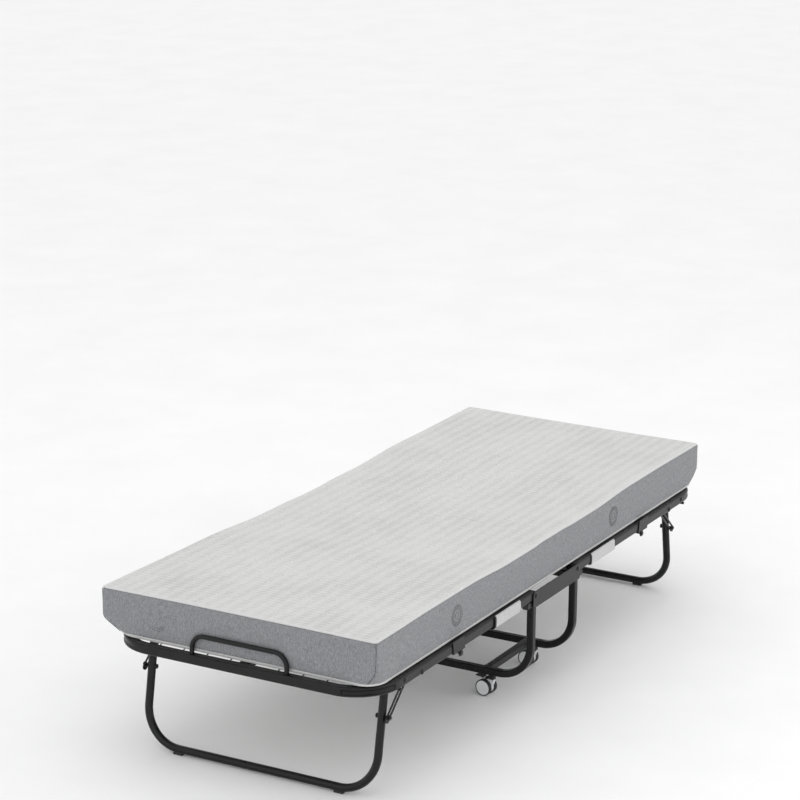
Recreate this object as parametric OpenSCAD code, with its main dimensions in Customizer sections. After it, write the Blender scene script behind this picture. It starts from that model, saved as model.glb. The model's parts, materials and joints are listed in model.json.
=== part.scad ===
// Folding rollaway bed: two tube decks hinged to a low wheeled centre base,
// with U-shaped end legs, wire mesh and a mattress that folds in half.
// Millimetres. X runs foot (-) to head (+), the near side is -Y, floor is Z = 0.

/* [Mattress] */
// Length of the mattress
mattress_length = 1902; // [1700:1:2100]
// Width of the mattress
mattress_width = 765; // [600:1:1000]
// Height of the mattress underside above the floor
mattress_bottom = 322; // [300:0.5:400]
// Height of the mattress top above the floor
mattress_top = 448; // [400:0.5:600]
// Corner radius of the mattress in plan
mattress_corner = 45; // [10:1:120]
// Bevel along the bottom edge at each mattress end
mattress_end_bevel = 15; // [5:1:40]

/* [Deck frame] */
// Outer size of the square frame tube
frame_tube = 25; // [20:0.5:40]
// Outside corner radius of the frame tube section
frame_corner = 4.5; // [2:0.5:8]
// Wall thickness of the square tubes
tube_wall = 1.5; // [1:0.1:3]
// Distance from the centre line to the side rail's centre
rail_y = 379; // [300:0.5:500]
// Height of the side rail's centre, which is also the fold axis
rail_z = 308.5; // [250:0.5:400]
// Distance from the middle of the bed to each fold axis
hinge_x = 126; // [100:1:200]
// Distance from the middle to the centre of each end bar
bow_x = 957.5; // [800:0.5:1100]
// Centre line radius of the bow's corners
bow_bend = 110; // [60:1:180]
// Radius of the groove pressed into the outside of each bow corner
groove_r = 7; // [3:0.5:10]
// Depth of the pressed groove
groove_depth = 4; // [1:0.5:6]
// Distance from the middle to the joint between rail and bow
seam_x = 552; // [450:1:650]
// Distance from the middle to the crossbar beside the bow's mesh
end_crossbar_x = 615.5; // [560:0.5:700]
// Distance from the middle to the outer crossbar of the rail section
outer_crossbar_x = 514; // [450:0.5:560]
// Distance from the middle to the inner crossbar of the rail section
inner_crossbar_x = 170; // [150:0.5:300]
// Width of the bar under the middle of the mesh
center_bar_width = 30; // [15:1:50]
// Depth of the bar under the middle of the mesh
center_bar_depth = 15; // [8:1:25]

/* [Wire mesh] */
// Thickness of the mesh wire
wire = 3; // [2:0.1:5]
// Distance between neighbouring lengthwise wires
wire_pitch = 69; // [40:1:100]
// Number of lengthwise wires
wire_count = 10; // [6:1:16]
// Number of mesh fields along each section
mesh_fields = 5; // [3:1:8]
// Height of the mesh's middle above the floor
mesh_z = 319; // [300:0.5:330]

/* [Center base] */
// Outer size of the square base tube
base_tube = 20; // [15:0.5:30]
// Outside corner radius of the base tube section
base_corner = 4; // [2:0.5:6]
// Height of the low cross tube's centre
base_z = 70; // [50:1:120]
// Top of the upright posts
post_top = 290; // [250:1:296]
// Centre line radius of the base tube bends
base_bend = 90; // [50:1:140]
// Distance from the centre line to the lengthwise ties
tie_y = 250; // [150:1:300]
// Distance from the middle to the crossbars between the side plates
center_crossbar_x = 100; // [60:1:102]
// Thickness of the side plates
plate_thick = 3; // [2:0.5:6]
// Half length of the side plates
plate_half = 141; // [135:1:180]
// Lower edge of the side plates
plate_bottom = 276; // [260:1:285]
// Outer reach of the blocks that hold the open decks level
stop_reach = 163; // [150:1:200]
// Outer size of the blocks that hold the open decks level
stop_size = 18; // [12:0.5:20]

/* [Legs] */
// Distance from the middle to the leg pivot
leg_pivot_x = 825; // [760:1:840]
// Height of the leg pivot
leg_pivot_z = 310; // [300:0.5:315]
// Distance from the centre line to the leg tube's centre
leg_y = 337; // [300:0.5:350]
// Outer radius of the leg tube
leg_r = 10.5; // [8:0.5:13]
// Outward lean of the open leg, in degrees
leg_lean = 10; // [0:1:20]
// Distance from the pivot to the leg's cross tube
leg_length = 300; // [270:1:330]
// Centre line radius of the leg bends
leg_bend = 100; // [60:1:140]
// Distance from the centre line to the floor pads
pad_y = 237; // [150:1:237]
// Length of each floor pad along the leg's cross tube
pad_length = 26; // [16:1:50]
// Radius of the rod that stops the open leg
stop_rod_r = 4; // [3:0.5:6]
// Distance from the middle to the brace pivot
brace_pivot_x = 739; // [680:1:780]
// Height of the brace pivot
brace_pivot_z = 303; // [298:0.5:310]
// Distance down the leg to the brace pin
brace_pin_drop = 100.5; // [80:0.5:140]
// Width of the slotted brace
brace_width = 18; // [14:0.5:24]
// Thickness of the slotted brace
brace_thick = 3; // [2:0.5:5]
// Distance from the centre line to the brace's middle
brace_y = 355; // [350:0.5:360]

/* [Joints and bolts] */
// Radius of the hinge and leg bolts
bolt_r = 4; // [3:0.5:6]
// Radius of the bolt heads
bolt_head_r = 8; // [6:0.5:11]
// Radius of the brace and bracket bolts
small_bolt_r = 3; // [2:0.5:4]
// Radial clearance of every turning fit
running_gap = 0.06; // [0.02:0.01:0.1]
// Radius of the black hand knobs on the rail joints
knob_r = 12.5; // [8:0.5:18]

/* [Retainer and hook] */
// Radius of the mattress retainer rod
retainer_r = 6; // [4:0.5:8]
// Half distance between the retainer's feet
retainer_half = 137; // [80:1:200]
// Height of the retainer's top rod
retainer_z = 371; // [345:1:420]
// Centre line radius of the retainer's corners
retainer_bend = 35; // [15:1:45]
// Radius of the lock hook's wire
hook_wire_r = 2; // [1.5:0.1:3]
// Centre line radius of the ring round the end bar
hook_ring = 19; // [18:0.5:24]
// Sideways position of the lock hook
hook_y = 90; // [40:1:98]
// Distance from the end bar's centre to the middle of the hook's bend
hook_reach = 247.5; // [200:0.5:280]
// Centre line radius of the hook's bend
hook_bend = 8.5; // [8.5:0.5:18]

/* [Casters] */
// Radius of the twin wheels
wheel_r = 23; // [18:0.5:30]
// Overall width of the twin wheels
wheel_span = 36; // [28:1:46]
// Distance from the centre line to each caster
caster_y = 267.5; // [200:0.5:285]
// Distance from the swivel axis to the wheel axle
caster_trail = 18; // [8:0.5:25]
// Radius of the swivel stem
stem_r = 5; // [4:0.5:7]
// Radius of the wheel axle
axle_r = 3; // [2:0.5:5]

/* [Mattress straps] */
// Distance from the middle to the inner edge of each strap
strap_start = 215; // [190:1:300]
// Distance from the middle to the outer edge of each strap
strap_end = 360; // [300:1:450]
// Thickness of the strap fabric
strap_thick = 2; // [1:0.5:4]
// Lowest point of the strap
strap_bottom = 288; // [275:1:293]
// Distance from the centre line to the strap's inner end
strap_inner = 270; // [200:1:340]

/* [Hidden] */
$fn = 64;
half_tube = frame_tube / 2;
rail_inner = rail_y - half_tube;
rail_outer = rail_y + half_tube;
rail_bottom = rail_z - half_tube;
plate_y = rail_outer + 0.2;
post_y = plate_y - base_tube / 2;
stop_top = rail_bottom - 0.4;
pin_leg_gap = 0.5;
leg_flat = 7;
leg_eye_r = 11.5;
leg_flat_end = 14;
leg_round_start = 46;
stop_rod_z = rail_bottom - stop_rod_r + 0.5;
stop_rod_x = leg_pivot_x + (leg_pivot_z - stop_rod_z) * tan(leg_lean)
  + (leg_eye_r + stop_rod_r + 0.4) / cos(leg_lean);
leg_foot_x = leg_pivot_x + leg_length * sin(leg_lean);
leg_foot_z = leg_pivot_z - leg_length * cos(leg_lean);
pin_x = leg_pivot_x + brace_pin_drop * sin(leg_lean);
pin_z = leg_pivot_z - brace_pin_drop * cos(leg_lean);
brace_angle = atan2(pin_z - brace_pivot_z, pin_x - brace_pivot_x);
brace_reach = norm([pin_x - brace_pivot_x, pin_z - brace_pivot_z]);
bracket_y = rail_outer + 0.1;
bracket_bolt_x = 543;
bracket_bolt_z = 287;
bracket_start = 521;
bracket_end = 580;
bracket_slant = 7;
bracket_rise = 328;
center_fields = 3;
bow_edge_cut = 10;
hook_ring_sweep = 330;
hook_bend_sweep = 110;
knob_y = 350;
near_foot_yaw = -97;
far_foot_yaw = -80;
near_head_yaw = -92;
far_head_yaw = -108;
half_end = mattress_length / 2;
fold_top = 125;
fold_rise = tan(2);
core_half = hinge_x - half_tube - 1;
fold_start = hinge_x * 2 + 1;
full_height_x = 539;
lug_x = -caster_trail - 8;
lug_z = wheel_r + 27;
lug_r = 3;
lug_half = 3;
brake_pin_r = 1.5;

powder_black = [0.06, 0.06, 0.065];
zinc = [0.16, 0.16, 0.17];
black_plastic = [0.08, 0.08, 0.09];
white_fabric = [0.93, 0.93, 0.92];
pale_plastic = [0.85, 0.86, 0.87];

// ---------- shared shapes ----------

// Extrudes a Y-Z outline along X.
module along_x(start, stop) {
  translate([start, 0, 0])
    rotate([90, 0, 90])
      linear_extrude(stop - start)
        children();
}

// Extrudes an X-Z outline along Y.
module along_y(start, stop) {
  translate([0, stop, 0])
    rotate([90, 0, 0])
      linear_extrude(stop - start)
        children();
}

// Repeats the far-side shape on the near side.
module both_sides() {
  children();
  mirror([0, 1, 0])
    children();
}

// Repeats the head-end shape at the foot end.
module both_ends() {
  children();
  mirror([1, 0, 0])
    children();
}

module rounded_rectangle(wide, high, corner) {
  square([wide - 2 * corner, high], center = true);
  square([wide, high - 2 * corner], center = true);
  for (sx = [-1, 1], sy = [-1, 1])
    translate([sx * (wide / 2 - corner), sy * (high / 2 - corner)])
      circle(corner);
}

module tube_outline(side, corner) {
  difference() {
    rounded_rectangle(side, side, corner);
    rounded_rectangle(side - 2 * tube_wall, side - 2 * tube_wall, corner - tube_wall);
  }
}

// A round rod or hole along Y.
module rod_y(start, stop, radius) {
  along_y(start, stop)
    circle(radius);
}

// ---------- center base ----------

module side_plate_shape() {
  corner = 8;
  difference() {
    along_y(plate_y, plate_y + plate_thick)
      translate([0, (plate_bottom + rail_z + half_tube) / 2])
        rounded_rectangle(2 * plate_half, rail_z + half_tube - plate_bottom, corner);
    for (side = [-1, 1])
      translate([side * hinge_x, 0, rail_z])
        rod_y(plate_y - 1, plate_y + plate_thick + 1, bolt_r);
  }
}

// One U of square tube: two posts, two bends and the low cross tube.
module base_tube_shape() {
  difference() {
    translate([hinge_x, 0, 0]) {
      both_sides() {
        translate([0, post_y, base_z + base_bend])
          linear_extrude(post_top - base_z - base_bend)
            tube_outline(base_tube, base_corner);
        translate([0, post_y - base_bend, base_z + base_bend])
          rotate([90, 0, 90])
            rotate([0, 0, -90])
              rotate_extrude(angle = 90)
                translate([base_bend, 0])
                  tube_outline(base_tube, base_corner);
      }
      translate([0, 0, base_z])
        along_y(base_bend - post_y, post_y - base_bend)
          tube_outline(base_tube, base_corner);
    }
    both_sides()
      translate([hinge_x, caster_y, base_z - base_tube])
        cylinder(base_tube, r = stem_r + running_gap);
  }
}

module base_tie_shape() {
  translate([0, tie_y, base_z])
    along_x(base_tube / 2 - hinge_x, hinge_x - base_tube / 2)
      tube_outline(base_tube, base_corner);
}

module center_crossbar_shape() {
  translate([center_crossbar_x, 0, rail_z - base_tube / 2])
    along_y(-plate_y, plate_y)
      tube_outline(base_tube, base_corner);
}

module rail_stop_shape() {
  translate([0, post_y, stop_top - stop_size / 2])
    along_x(hinge_x + base_tube / 2, stop_reach - plate_thick)
      tube_outline(stop_size, base_corner);
}

module stop_plug_shape() {
  translate([0, post_y, stop_top - stop_size / 2])
    along_x(stop_reach - plate_thick, stop_reach)
      rounded_rectangle(stop_size, stop_size, base_corner);
}

// Bolt with a domed head outside the plate and an acorn nut inside the rail.
module hinge_bolt_shape() {
  nut_length = 8;
  translate([hinge_x, 0, rail_z]) {
    rod_y(rail_inner - nut_length / 2, plate_y + plate_thick, bolt_r);
    translate([0, plate_y + plate_thick, 0])
      bolt_head();
    rod_y(rail_inner - nut_length, rail_inner - 0.3, bolt_head_r - 1);
  }
}

// Low domed head, its flat side at Y = 0.
module bolt_head() {
  head_high = 4;
  head_dome = (bolt_head_r * bolt_head_r + head_high * head_high) / (2 * head_high);
  intersection() {
    translate([0, head_high - head_dome, 0])
      sphere(head_dome);
    rod_y(0, head_high + 1, bolt_head_r);
  }
}

// Small domed nut on top of the cross tube where each tie is fastened.
module base_bolt_shape() {
  nut_high = 6;
  translate([hinge_x, tie_y, base_z + base_tube / 2])
    intersection() {
      cylinder(nut_high, r = nut_high - 1);
      sphere(nut_high);
    }
}

// ---------- decks ----------

module rail_shape() {
  difference() {
    union() {
      translate([0, rail_y, rail_z])
        along_x(hinge_x, seam_x)
          rounded_rectangle(frame_tube, frame_tube, frame_corner);
      translate([hinge_x, 0, rail_z])
        rod_y(rail_inner, rail_outer, half_tube);
    }
    translate([0, rail_y, rail_z])
      along_x(hinge_x + frame_tube, seam_x + 1)
        square(frame_tube - 2 * tube_wall, center = true);
    translate([hinge_x, 0, rail_z])
      rod_y(rail_inner - 1, rail_outer + 1, bolt_r + running_gap);
  }
}

module bow_shape() {
  groove_center = bow_bend + half_tube + groove_r - groove_depth;
  groove_start = 12;
  difference() {
    union() {
      both_sides() {
        translate([0, rail_y, rail_z])
          along_x(seam_x + 0.2, bow_x - bow_bend)
            tube_outline(frame_tube, frame_corner);
        translate([bow_x - bow_bend, rail_y - bow_bend, rail_z])
          difference() {
            rotate_extrude(angle = 90)
              translate([bow_bend, 0])
                rounded_rectangle(frame_tube, frame_tube, frame_corner);
            rotate_extrude(angle = 90)
              translate([bow_bend - (groove_depth + tube_wall) / 2, 0])
                square([frame_tube - 3 * tube_wall - groove_depth, frame_tube - 2 * tube_wall], center = true);
            rotate([0, 0, groove_start])
              rotate_extrude(angle = 90 - 2 * groove_start)
                translate([groove_center, 0])
                  circle(groove_r);
            for (end = [groove_start, 90 - groove_start])
              rotate([0, 0, end])
                translate([groove_center, 0, 0])
                  sphere(groove_r);
          }
      }
      translate([bow_x, 0, rail_z])
        along_y(bow_bend - rail_y, rail_y - bow_bend)
          tube_outline(frame_tube, frame_corner);
    }
    both_sides() {
      translate([leg_pivot_x, 0, leg_pivot_z])
        rod_y(rail_inner - 1, rail_outer + 1, bolt_r);
      translate([brace_pivot_x, 0, brace_pivot_z])
        rod_y(rail_inner - 1, rail_outer + 1, small_bolt_r);
    }
  }
}

module crossbar_shape(position) {
  translate([position, 0, rail_z])
    along_y(-rail_inner, rail_inner)
      tube_outline(frame_tube, frame_corner);
}

module deck_crossbars() {
  crossbar_shape(end_crossbar_x);
  crossbar_shape(outer_crossbar_x);
  crossbar_shape(inner_crossbar_x);
}

module center_bar_shape(start, stop) {
  translate([0, 0, rail_z])
    along_x(start, stop)
      difference() {
        rounded_rectangle(center_bar_width, center_bar_depth, base_corner);
        square([center_bar_width - 2 * base_corner, center_bar_depth - 2 * tube_wall], center = true);
      }
}

module deck_center_bars() {
  center_bar_shape(end_crossbar_x + half_tube, bow_x - half_tube);
  center_bar_shape(inner_crossbar_x + half_tube, outer_crossbar_x - half_tube);
}

// Welded mesh: long wires between two bars, with cross wires at even fields.
// The two outermost long wires stop short by edge_cut.
module mesh_shape(start, stop, fields, edge_cut) {
  half_width = (wire_count - 1) / 2 * wire_pitch;
  translate([0, 0, mesh_z - wire / 2])
    linear_extrude(wire) {
      for (k = [1 : wire_count - 2])
        translate([start, k * wire_pitch - half_width - wire / 2])
          square([stop - start, wire]);
      for (side = [-1, 1])
        translate([start, side * half_width - wire / 2])
          square([stop - start - edge_cut, wire]);
      for (j = [1 : fields - 1])
        translate([start + j * (stop - start) / fields - wire / 2, -half_width - wire])
          square([wire, 2 * (half_width + wire)]);
    }
}

// Sheet bracket over the rail joint, with a slanted top and a bolt lobe below.
module joint_bracket_shape() {
  sheet = 2.5;
  lobe = 9;
  inner_start = outer_crossbar_x + half_tube + 2;
  inner_flange = 22;
  difference() {
    union() {
      along_y(bracket_y, bracket_y + sheet) {
        polygon([
          [bracket_start, rail_bottom - sheet],
          [bracket_end, rail_bottom - sheet],
          [bracket_end + bracket_slant, bracket_rise],
          [bracket_start + bracket_slant, bracket_rise]
        ]);
        bracket_lobe(lobe);
      }
      translate([inner_start, rail_inner - 0.2 - sheet, rail_bottom - 0.1 - sheet])
        cube([bracket_end - inner_start, frame_tube + 2 * sheet + 0.3, sheet]);
      along_y(rail_inner - 0.2 - sheet, rail_inner - 0.2) {
        translate([inner_start, rail_bottom - sheet])
          square([bracket_end - inner_start, inner_flange]);
        bracket_lobe(lobe);
      }
    }
    translate([bracket_bolt_x, 0, bracket_bolt_z])
      rod_y(rail_inner - 10, bracket_y + 10, small_bolt_r);
  }
}

module bracket_lobe(radius) {
  translate([bracket_bolt_x, bracket_bolt_z])
    circle(radius);
  translate([bracket_bolt_x - radius, bracket_bolt_z])
    square([2 * radius, rail_bottom - bracket_bolt_z - 1]);
}

// Hand knob on the inner side, its bolt and the small head outside.
module joint_knob_shape() {
  knob_thick = 8;
  translate([bracket_bolt_x, 0, bracket_bolt_z]) {
    rod_y(knob_y - knob_thick / 2, knob_y + knob_thick / 2, knob_r);
    rod_y(knob_y, rail_inner - 3, small_bolt_r + 2);
    rod_y(knob_y, bracket_y + 3, small_bolt_r);
    rod_y(bracket_y + 2.6, bracket_y + 5.5, small_bolt_r + 3);
  }
}

// Leg pivot bolt: head outside, shoulder beside the leg, tapered nut inside.
module leg_bolt_shape() {
  leg_side = leg_y + leg_flat / 2 + 0.3;
  nut_side = leg_y - leg_flat / 2 - 0.3;
  translate([leg_pivot_x, 0, leg_pivot_z]) {
    rod_y(nut_side - 2, rail_outer, bolt_r);
    rod_y(leg_side, rail_inner, bolt_r + 2);
    translate([0, rail_outer, 0])
      bolt_head();
    rod_y(nut_side - 8, nut_side, bolt_r + 3);
    translate([0, nut_side - 8, 0])
      rotate([90, 0, 0])
        cylinder(8, r1 = bolt_r + 1, r2 = bolt_r - 2);
  }
}

module brace_bolt_on_rail() {
  translate([brace_pivot_x, 0, brace_pivot_z]) {
    rod_y(brace_y - 4, rail_outer, small_bolt_r);
    rod_y(brace_y + brace_thick / 2 + 0.3, rail_inner, small_bolt_r + 3);
    rod_y(brace_y - 5.5, brace_y - brace_thick / 2 - 0.3, small_bolt_r + 3);
    translate([0, rail_outer, 0])
      bolt_head();
  }
}

module deck_pivot_bolts() {
  both_sides() {
    leg_bolt_shape();
    brace_bolt_on_rail();
  }
}

// Rod welded under the rail that the open leg leans on.
module leg_stop_shape() {
  difference() {
    translate([stop_rod_x, 0, stop_rod_z])
      rod_y(leg_y - 12, rail_outer, stop_rod_r);
    translate([stop_rod_x - 10, 0, rail_bottom])
      cube([20, 500, 10]);
  }
}

// Fabric loop from the mattress edge round the outside of the rail and back under it.
module strap_shape() {
  outer = bracket_y + 0.8 + strap_thick;
  along_x(strap_start, strap_end) {
    translate([outer - strap_thick, strap_bottom])
      square([strap_thick, mattress_bottom + 2 - strap_bottom]);
    translate([strap_inner, strap_bottom])
      square([outer - strap_inner, strap_thick]);
    translate([strap_inner, strap_bottom])
      square([strap_thick, mesh_z - wire - strap_bottom]);
  }
}

// ---------- mattress ----------

// Plan outline of one half beyond the fold, rounded at the bed's end.
module mattress_plan(start, stop) {
  square_end = stop - mattress_corner;
  translate([start, -mattress_width / 2])
    square([square_end - start, mattress_width]);
  translate([start, mattress_corner - mattress_width / 2])
    square([stop - start, mattress_width - 2 * mattress_corner]);
  for (side = [-1, 1])
    translate([square_end, side * (mattress_width / 2 - mattress_corner)])
      circle(mattress_corner);
}

module mattress_half_shape() {
  near_top = rail_z + 129.4;
  intersection() {
    translate([0, 0, mattress_bottom])
      linear_extrude(mattress_top - mattress_bottom)
        mattress_plan(fold_start, half_end);
    along_y(-mattress_width, mattress_width)
      polygon([
        [fold_start, mattress_bottom],
        [half_end - mattress_end_bevel, mattress_bottom],
        [half_end, mattress_bottom + mattress_end_bevel],
        [half_end, mattress_top],
        [full_height_x, mattress_top],
        [fold_start, near_top]
      ]);
  }
}

module mattress_fold_shape() {
  inner = core_half + 0.5;
  outer = fold_start - 0.5;
  along_y(-mattress_width / 2, mattress_width / 2)
    polygon([
      [inner, mattress_bottom],
      [outer, mattress_bottom],
      [outer, rail_z + fold_top + fold_rise * (outer - hinge_x)],
      [inner, rail_z + fold_top + fold_rise * (inner - hinge_x)]
    ]);
}

// ---------- legs ----------

// Leg tube of a given radius: two sides, two bends and the cross tube.
module leg_tube(radius, top) {
  side_end = leg_length - leg_bend;
  both_sides() {
    translate([0, leg_y, -side_end])
      cylinder(side_end - top, r = radius);
    translate([0, leg_y - leg_bend, -side_end])
      rotate([90, 0, 90])
        rotate([0, 0, -90])
          rotate_extrude(angle = 90)
            translate([leg_bend, 0])
              circle(radius);
  }
  translate([0, 0, -leg_length])
    rod_y(leg_bend - leg_y, leg_y - leg_bend, radius);
}

// Flattened upper end of one leg side, blending into the round tube.
module leg_eye() {
  translate([0, leg_y, 0]) {
    rod_y(-leg_flat / 2, leg_flat / 2, leg_eye_r);
    translate([-leg_eye_r, -leg_flat / 2, -leg_flat_end])
      cube([2 * leg_eye_r, leg_flat, leg_flat_end]);
    hull() {
      translate([-leg_eye_r, -leg_flat / 2, -leg_flat_end - 1])
        cube([2 * leg_eye_r, leg_flat, 1]);
      translate([0, 0, -leg_round_start])
        cylinder(1, r = leg_r, $fn = 32);
    }
  }
}

module leg_shape() {
  pin_end = brace_y - brace_thick / 2 - pin_leg_gap;
  translate([leg_pivot_x, 0, leg_pivot_z])
    rotate([0, -leg_lean, 0])
      difference() {
        union() {
          difference() {
            leg_tube(leg_r, leg_round_start - 1);
            leg_tube(leg_r - tube_wall, leg_round_start + 4);
          }
          both_sides() {
            leg_eye();
            translate([0, 0, -brace_pin_drop]) {
              rod_y(leg_y - leg_r - 3, pin_end, bolt_r);
              rod_y(leg_y - leg_r - 5, leg_y - leg_r + 0.8, bolt_r + 2);
            }
          }
        }
        both_sides()
          rod_y(leg_y - leg_flat, leg_y + leg_flat, bolt_r + running_gap);
      }
}

// Small floor pad under the leg's cross tube, its top hollowed to the tube.
module leg_pad_shape() {
  pad_half = 7;
  pad_high = leg_foot_z - leg_r / 2;
  difference() {
    translate([leg_foot_x, 0, pad_high / 2])
      along_y(pad_y - pad_length / 2, pad_y + pad_length / 2)
        square([2 * pad_half, pad_high], center = true);
    translate([leg_foot_x, 0, leg_foot_z])
      rod_y(0, leg_y, leg_r + running_gap);
  }
}

// Slotted bar from the rail to the leg.
module brace_shape() {
  slot_start = 15;
  slot_half = bolt_r + 0.3;
  tail = 7;
  translate([brace_pivot_x, 0, brace_pivot_z])
    along_y(brace_y - brace_thick / 2, brace_y + brace_thick / 2)
      rotate(brace_angle)
        difference() {
          union() {
            translate([0, -brace_width / 2])
              square([brace_reach + tail, brace_width]);
            circle(brace_width / 2);
            translate([brace_reach + tail, 0])
              circle(brace_width / 2);
          }
          circle(small_bolt_r + running_gap);
          translate([slot_start, -slot_half])
            square([brace_reach - slot_start, 2 * slot_half]);
          translate([slot_start, 0])
            circle(slot_half);
          translate([brace_reach, 0])
            circle(slot_half);
        }
}

// Bolt in the far end of the brace's slot.
module slot_bolt_shape() {
  face = brace_y + brace_thick / 2;
  translate([pin_x, 0, pin_z]) {
    rod_y(brace_y - brace_thick / 2 + 0.1, face + 1, bolt_r);
    rod_y(face, face + 4, bolt_r + 2.5);
    translate([0, face + 4, 0])
      rotate([-90, 0, 0])
        cylinder(3, r1 = bolt_r, r2 = bolt_r - 1);
  }
}

// ---------- retainer and hook ----------

module retainer_shape() {
  foot = rail_z + half_tube;
  bend_z = retainer_z - retainer_bend;
  translate([bow_x, 0, 0]) {
    both_sides() {
      translate([0, retainer_half, foot])
        cylinder(bend_z - foot, r = retainer_r);
      translate([0, retainer_half - retainer_bend, bend_z])
        rotate([90, 0, 90])
          rotate_extrude(angle = 90)
            translate([retainer_bend, 0])
              circle(retainer_r);
    }
    translate([0, 0, retainer_z])
      rod_y(retainer_bend - retainer_half, retainer_half - retainer_bend, retainer_r);
  }
}

// Wire eye round the head end bar with a long shank and an open hook below.
module hook_shape() {
  offset_in = hook_ring - hook_bend;
  shank = sqrt(hook_reach * hook_reach - offset_in * offset_in);
  ring_wire = 2 * hook_wire_r + 0.6;
  translate([bow_x, hook_y, rail_z]) {
    mirror([0, 0, 1])
      hook_arc(hook_ring, hook_ring_sweep)
        rounded_rectangle(ring_wire, ring_wire, hook_wire_r / 2);
    translate([-hook_ring, 0, -shank])
      cylinder(shank, r = hook_wire_r);
    translate([-offset_in, 0, -shank])
      hook_arc(hook_bend, hook_bend_sweep)
        circle(hook_wire_r);
  }
}

// Sweeps a wire outline along an arc that starts on the inboard side.
module hook_arc(radius, sweep) {
  rotate([90, 0, 0])
    rotate([0, 0, 180])
      rotate_extrude(angle = sweep)
        translate([radius, 0])
          children();
}

// ---------- casters ----------

// Body between the wheels with its neck, collar, brake lug and swivel stem.
module caster_shape() {
  body_half = 7;
  body_r = wheel_r - 3;
  stem_top = base_z - base_tube / 2;
  collar_low = stem_top - 12;
  difference() {
    union() {
      along_y(-body_half, body_half) {
        translate([-caster_trail, wheel_r])
          circle(body_r);
        polygon([
          [-caster_trail - 6, wheel_r + 15],
          [-8, stem_top - 2],
          [8, stem_top - 2],
          [8, stem_top - 16],
          [0, wheel_r]
        ]);
      }
      translate([0, 0, collar_low])
        cylinder(stem_top - 0.3 - collar_low, r = stem_r + 4);
      along_y(-lug_half, lug_half) {
        translate([lug_x, lug_z])
          circle(lug_r);
        translate([lug_x - lug_r, wheel_r + 10])
          square([2 * lug_r, lug_z - wheel_r - 10]);
      }
    }
    translate([-caster_trail, 0, wheel_r])
      rod_y(-body_half - 1, body_half + 1, axle_r + running_gap);
    translate([lug_x, 0, lug_z])
      rod_y(-body_half - 1, body_half + 1, brake_pin_r + running_gap);
  }
  translate([0, 0, stem_top - 1])
    cylinder(base_tube - 3, r = stem_r);
}

// Twin wheels fixed to one axle; a shallow dish parts the hub from the tyre.
module wheels_shape() {
  inner = 7.5;
  outer = wheel_span / 2;
  tyre = 3;
  dish = 0.8;
  translate([-caster_trail, 0, wheel_r]) {
    rod_y(-inner - 1, inner + 1, axle_r);
    both_sides()
      difference() {
        rod_y(inner, outer, wheel_r);
        rod_y(outer - dish, outer + 1, wheel_r - tyre);
      }
  }
}

// Foot lever over the wheels, hinged on the caster's lug.
module brake_shape() {
  lever_thick = 3;
  lever_half = 8;
  lever_reach = 18;
  translate([lug_x, 0, lug_z]) {
    rod_y(-lever_half, lever_half, brake_pin_r);
    both_sides()
      rod_y(lug_half + 0.3, lever_half, lug_r);
    translate([-lever_reach - lug_r - 0.5, -lever_half, -1])
      cube([lever_reach, 2 * lever_half, lever_thick]);
    both_sides()
      translate([-lug_r - 1, lug_half + 0.3, -1])
        cube([lug_r + 1, lever_half - lug_half - 0.3, lever_thick]);
  }
}

// Puts a caster piece at one corner of the base, turned about its stem.
module at_corner(end, side, yaw) {
  translate([end * hinge_x, side * caster_y, 0])
    rotate([0, 0, yaw])
      children();
}

// ---------- named pieces ----------

module near_side_plate() color(powder_black) mirror([0, 1, 0]) side_plate_shape();
module far_side_plate() color(powder_black) side_plate_shape();
module foot_base_tube() color(powder_black) mirror([1, 0, 0]) base_tube_shape();
module head_base_tube() color(powder_black) base_tube_shape();
module base_ties() color(powder_black) both_sides() base_tie_shape();
module center_crossbars() color(powder_black) both_ends() center_crossbar_shape();
module center_mesh() {
  edge = center_crossbar_x - base_tube / 2;
  color(zinc)
    translate([0, 0, rail_z - wire - mesh_z])
      mesh_shape(-edge, edge, center_fields, 0);
}
module rail_stops() color(powder_black) both_ends() both_sides() rail_stop_shape();
module stop_plugs() color(black_plastic) both_ends() both_sides() stop_plug_shape();
module hinge_bolts() color(zinc) both_ends() both_sides() hinge_bolt_shape();
module base_bolts() color(zinc) both_ends() both_sides() base_bolt_shape();
module mattress_core() {
  core_high = 111.5;
  color(white_fabric)
    translate([-core_half, -mattress_width / 2, mattress_bottom])
      cube([2 * core_half, mattress_width, core_high]);
}

module head_end_bow() color(powder_black) bow_shape();
module head_near_rail() color(powder_black) mirror([0, 1, 0]) rail_shape();
module head_far_rail() color(powder_black) rail_shape();
module head_crossbars() color(powder_black) deck_crossbars();
module head_center_bars() color(powder_black) deck_center_bars();
module head_end_mesh() {
  color(zinc)
    mesh_shape(end_crossbar_x + half_tube, bow_x - half_tube, mesh_fields, bow_edge_cut);
}
module head_rail_mesh() {
  color(zinc)
    mesh_shape(inner_crossbar_x + half_tube, outer_crossbar_x - half_tube, mesh_fields, 0);
}
module head_joint_brackets() color(powder_black) both_sides() joint_bracket_shape();
module head_joint_knobs() color(black_plastic) both_sides() joint_knob_shape();
module head_pivot_bolts() color(zinc) deck_pivot_bolts();
module head_leg_stops() color(zinc) both_sides() leg_stop_shape();
module head_straps() color(white_fabric) both_sides() strap_shape();
module head_mattress() color(white_fabric) mattress_half_shape();
module head_mattress_fold() color(white_fabric) mattress_fold_shape();
module head_leg() color(powder_black) leg_shape();
module head_leg_pads() color(black_plastic) both_sides() leg_pad_shape();
module head_braces() color(zinc) both_sides() brace_shape();
module head_brace_bolts() color(zinc) both_sides() slot_bolt_shape();
module lock_hook() color(zinc) hook_shape();

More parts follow.
